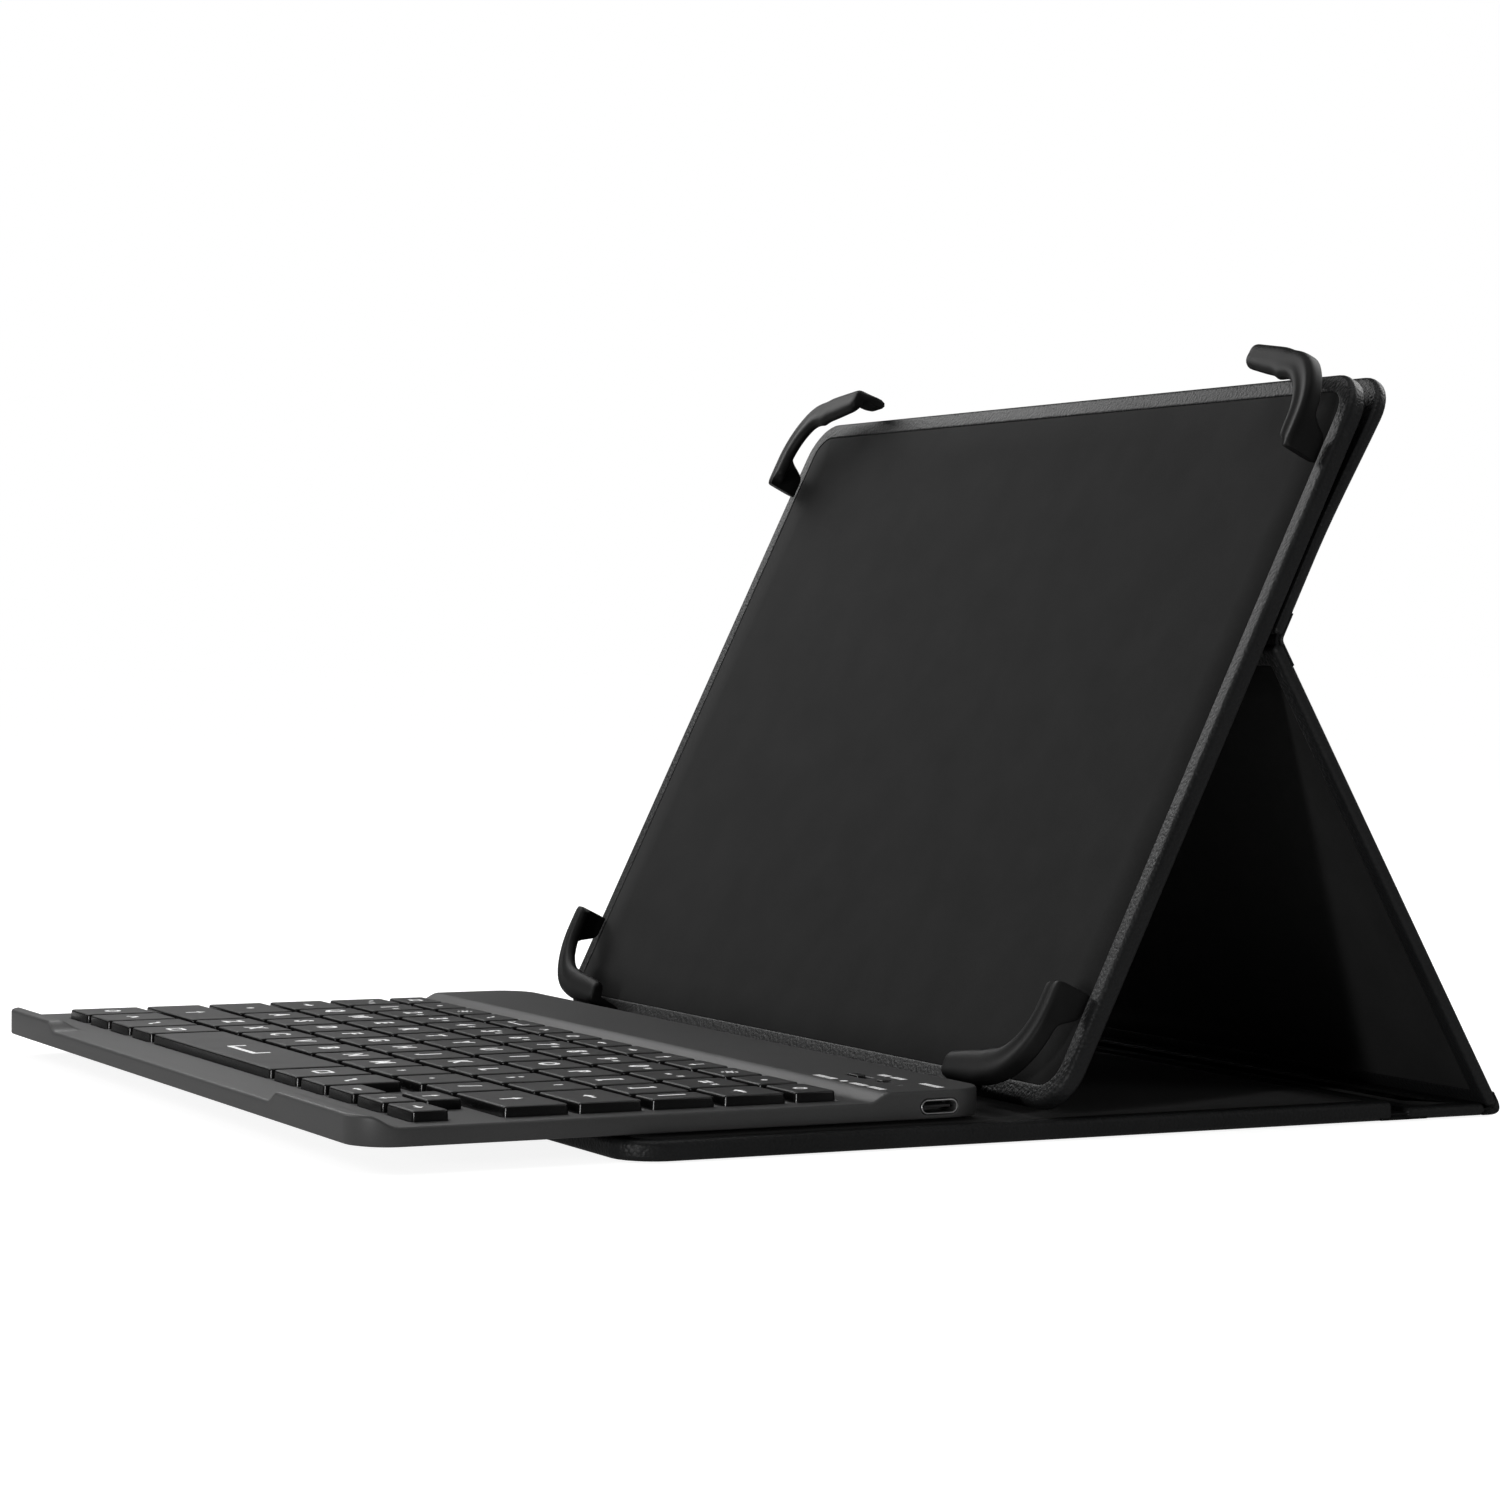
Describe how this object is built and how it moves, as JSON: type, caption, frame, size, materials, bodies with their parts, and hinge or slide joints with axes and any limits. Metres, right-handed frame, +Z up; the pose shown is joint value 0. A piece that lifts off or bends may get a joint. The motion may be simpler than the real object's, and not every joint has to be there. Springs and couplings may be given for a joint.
{
  "type": "tablet keyboard case",
  "caption": "Folding tablet case standing as an easel: magnetic cover panels, a holder panel with corner grips, and a thin removable keyboard on the front panel.",
  "frame": {"origin": "on the table, under the middle of the standing case's bounding box", "axes": "+X to the user's right, +Y back away from the user, +Z up"},
  "size_m": [0.2628, 0.2786, 0.1775],
  "materials": {
    "cover_leather": "fine-grained satin PU leather",
    "cover_lining": "matt microfibre",
    "stiff_board": "fibre board",
    "grip_rubber": "satin silicone",
    "case_plastic": "fine matt moulded",
    "key_plastic": "satin moulded",
    "bright_steel": "satin plated",
    "magnet_steel": "nickel plated",
    "circuit_board": "solder mask",
    "membrane": "printed film",
    "battery_wrap": "foil pouch",
    "light_guide": "clear moulded"
  },
  "bodies": {
    "front_cover": {"front_cover_skin": "cover_leather", "front_cover_board": "stiff_board", "front_cover_lining": "cover_lining", "stand_magnet_strip": "magnet_steel", "cover_magnet_left": "magnet_steel", "cover_magnet_right": "magnet_steel"},
    "spine": {"spine_skin": "cover_leather", "spine_board": "stiff_board"},
    "kickstand": {"kickstand_skin": "cover_leather", "kickstand_board": "stiff_board", "kickstand_lining": "cover_lining"},
    "holder": {"back_cover_skin": "cover_leather", "back_cover_board": "stiff_board", "holder_skin": "cover_leather", "holder_board": "stiff_board", "holder_lining": "cover_lining", "holder_magnet_strip": "magnet_steel", "corner_grip_upper_right": "grip_rubber", "corner_grip_upper_left": "grip_rubber", "corner_grip_lower_right": "grip_rubber", "corner_grip_lower_left": "grip_rubber"},
    "keyboard": {"keyboard_top_case": "case_plastic", "keyboard_bottom_case": "case_plastic", "key_support_plate": "bright_steel", "key_membrane": "membrane", "keyboard_circuit_board": "circuit_board", "keyboard_battery": "battery_wrap", "charging_port_shell": "bright_steel", "charging_port_tongue": "case_plastic", "keyboard_magnet_left": "magnet_steel", "keyboard_magnet_right": "magnet_steel", "status_light": "light_guide", "foot_front_left": "grip_rubber", "foot_front_right": "grip_rubber", "foot_rear_left": "grip_rubber", "foot_rear_right": "grip_rubber"},
    "power_switch": {"power_switch": "key_plastic"},
    "connect_button": {"connect_button": "key_plastic"},
    "function_modifier_key": {"function_modifier_key": "key_plastic"},
    "control_key": {"control_key": "key_plastic"},
    "option_key": {"option_key": "key_plastic"},
    "command_key": {"command_key": "key_plastic"},
    "space_bar": {"space_bar": "key_plastic"},
    "right_command_key": {"right_command_key": "key_plastic"},
    "right_option_key": {"right_option_key": "key_plastic"},
    "arrow_left_key": {"arrow_left_key": "key_plastic"},
    "arrow_down_key": {"arrow_down_key": "key_plastic"},
    "arrow_right_key": {"arrow_right_key": "key_plastic"},
    "arrow_up_key": {"arrow_up_key": "key_plastic"},
    "left_shift_key": {"left_shift_key": "key_plastic"},
    "right_shift_key": {"right_shift_key": "key_plastic"},
    "caps_key": {"caps_key": "key_plastic"},
    "enter_key": {"enter_key": "key_plastic"},
    "tab_key": {"tab_key": "key_plastic"},
    "backspace_key": {"backspace_key": "key_plastic"},
    "lower_letter_keys": {"lower_letter_keys": "key_plastic"},
    "home_letter_keys": {"home_letter_keys": "key_plastic"},
    "upper_letter_keys": {"upper_letter_keys": "key_plastic"},
    "number_keys": {"number_keys": "key_plastic"},
    "function_keys": {"function_keys": "key_plastic"}
  },
  "joints": [
    {"name": "spine_fold", "type": "hinge", "parent": "front_cover", "child": "spine", "pos_m": [0, 0.11169, 0], "axis": [1, 0, 0], "range_deg": [0, 90]},
    {"name": "kickstand_fold", "type": "hinge", "parent": "spine", "child": "kickstand", "pos_m": [0, 0.14019, 0], "axis": [1, 0, 0], "range_deg": [-120.1, 0]},
    {"name": "holder_fold", "type": "hinge", "parent": "kickstand", "child": "holder", "pos_m": [0, 0.07709, 0.10884], "axis": [1, 0, 0], "range_deg": [0, 56.1]},
    {"name": "keyboard_slide", "type": "slide", "parent": "front_cover", "child": "keyboard", "axis": [0, -0.94, 0.3412], "range_m": [0, 0.15]},
    {"name": "power_switch_slide", "type": "slide", "parent": "keyboard", "child": "power_switch", "axis": [1, 0, 0], "range_m": [0, 0.003]},
    {"name": "connect_button_press", "type": "slide", "parent": "keyboard", "child": "connect_button", "axis": [0, 0, -1], "range_m": [0, 0.0006], "stiffness_N_per_m": 400, "springref_m": -0.0004},
    {"name": "function_modifier_key_press", "type": "slide", "parent": "keyboard", "child": "function_modifier_key", "axis": [0, 0, -1], "range_m": [0, 0.0012], "stiffness_N_per_m": 400, "springref_m": -0.0006},
    {"name": "control_key_press", "type": "slide", "parent": "keyboard", "child": "control_key", "axis": [0, 0, -1], "range_m": [0, 0.0012], "stiffness_N_per_m": 400, "springref_m": -0.0006},
    {"name": "option_key_press", "type": "slide", "parent": "keyboard", "child": "option_key", "axis": [0, 0, -1], "range_m": [0, 0.0012], "stiffness_N_per_m": 400, "springref_m": -0.0006},
    {"name": "command_key_press", "type": "slide", "parent": "keyboard", "child": "command_key", "axis": [0, 0, -1], "range_m": [0, 0.0012], "stiffness_N_per_m": 400, "springref_m": -0.0006},
    {"name": "space_bar_press", "type": "slide", "parent": "keyboard", "child": "space_bar", "axis": [0, 0, -1], "range_m": [0, 0.0012], "stiffness_N_per_m": 400, "springref_m": -0.0006},
    {"name": "right_command_key_press", "type": "slide", "parent": "keyboard", "child": "right_command_key", "axis": [0, 0, -1], "range_m": [0, 0.0012], "stiffness_N_per_m": 400, "springref_m": -0.0006},
    {"name": "right_option_key_press", "type": "slide", "parent": "keyboard", "child": "right_option_key", "axis": [0, 0, -1], "range_m": [0, 0.0012], "stiffness_N_per_m": 400, "springref_m": -0.0006},
    {"name": "arrow_left_key_press", "type": "slide", "parent": "keyboard", "child": "arrow_left_key", "axis": [0, 0, -1], "range_m": [0, 0.0012], "stiffness_N_per_m": 400, "springref_m": -0.0006},
    {"name": "arrow_down_key_press", "type": "slide", "parent": "keyboard", "child": "arrow_down_key", "axis": [0, 0, -1], "range_m": [0, 0.0012], "stiffness_N_per_m": 400, "springref_m": -0.0006},
    {"name": "arrow_right_key_press", "type": "slide", "parent": "keyboard", "child": "arrow_right_key", "axis": [0, 0, -1], "range_m": [0, 0.0012], "stiffness_N_per_m": 400, "springref_m": -0.0006},
    {"name": "arrow_up_key_press", "type": "slide", "parent": "keyboard", "child": "arrow_up_key", "axis": [0, 0, -1], "range_m": [0, 0.0012], "stiffness_N_per_m": 400, "springref_m": -0.0006},
    {"name": "left_shift_key_press", "type": "slide", "parent": "keyboard", "child": "left_shift_key", "axis": [0, 0, -1], "range_m": [0, 0.0012], "stiffness_N_per_m": 400, "springref_m": -0.0006},
    {"name": "right_shift_key_press", "type": "slide", "parent": "keyboard", "child": "right_shift_key", "axis": [0, 0, -1], "range_m": [0, 0.0012], "stiffness_N_per_m": 400, "springref_m": -0.0006},
    {"name": "caps_key_press", "type": "slide", "parent": "keyboard", "child": "caps_key", "axis": [0, 0, -1], "range_m": [0, 0.0012], "stiffness_N_per_m": 400, "springref_m": -0.0006},
    {"name": "enter_key_press", "type": "slide", "parent": "keyboard", "child": "enter_key", "axis": [0, 0, -1], "range_m": [0, 0.0012], "stiffness_N_per_m": 400, "springref_m": -0.0006},
    {"name": "tab_key_press", "type": "slide", "parent": "keyboard", "child": "tab_key", "axis": [0, 0, -1], "range_m": [0, 0.0012], "stiffness_N_per_m": 400, "springref_m": -0.0006},
    {"name": "backspace_key_press", "type": "slide", "parent": "keyboard", "child": "backspace_key", "axis": [0, 0, -1], "range_m": [0, 0.0012], "stiffness_N_per_m": 400, "springref_m": -0.0006},
    {"name": "lower_letter_keys_press", "type": "slide", "parent": "keyboard", "child": "lower_letter_keys", "axis": [0, 0, -1], "range_m": [0, 0.0012], "stiffness_N_per_m": 2400, "springref_m": -0.0006},
    {"name": "home_letter_keys_press", "type": "slide", "parent": "keyboard", "child": "home_letter_keys", "axis": [0, 0, -1], "range_m": [0, 0.0012], "stiffness_N_per_m": 2400, "springref_m": -0.0006},
    {"name": "upper_letter_keys_press", "type": "slide", "parent": "keyboard", "child": "upper_letter_keys", "axis": [0, 0, -1], "range_m": [0, 0.0012], "stiffness_N_per_m": 2400, "springref_m": -0.0006},
    {"name": "number_keys_press", "type": "slide", "parent": "keyboard", "child": "number_keys", "axis": [0, 0, -1], "range_m": [0, 0.0012], "stiffness_N_per_m": 2400, "springref_m": -0.0006},
    {"name": "function_keys_press", "type": "slide", "parent": "keyboard", "child": "function_keys", "axis": [0, 0, -1], "range_m": [0, 0.0012], "stiffness_N_per_m": 2400, "springref_m": -0.0006}
  ],
  "couplings": [
    {"joint": "spine_fold", "follows": "kickstand_fold", "ratio": -0.749},
    {"joint": "holder_fold", "follows": "kickstand_fold", "ratio": -0.467}
  ]
}
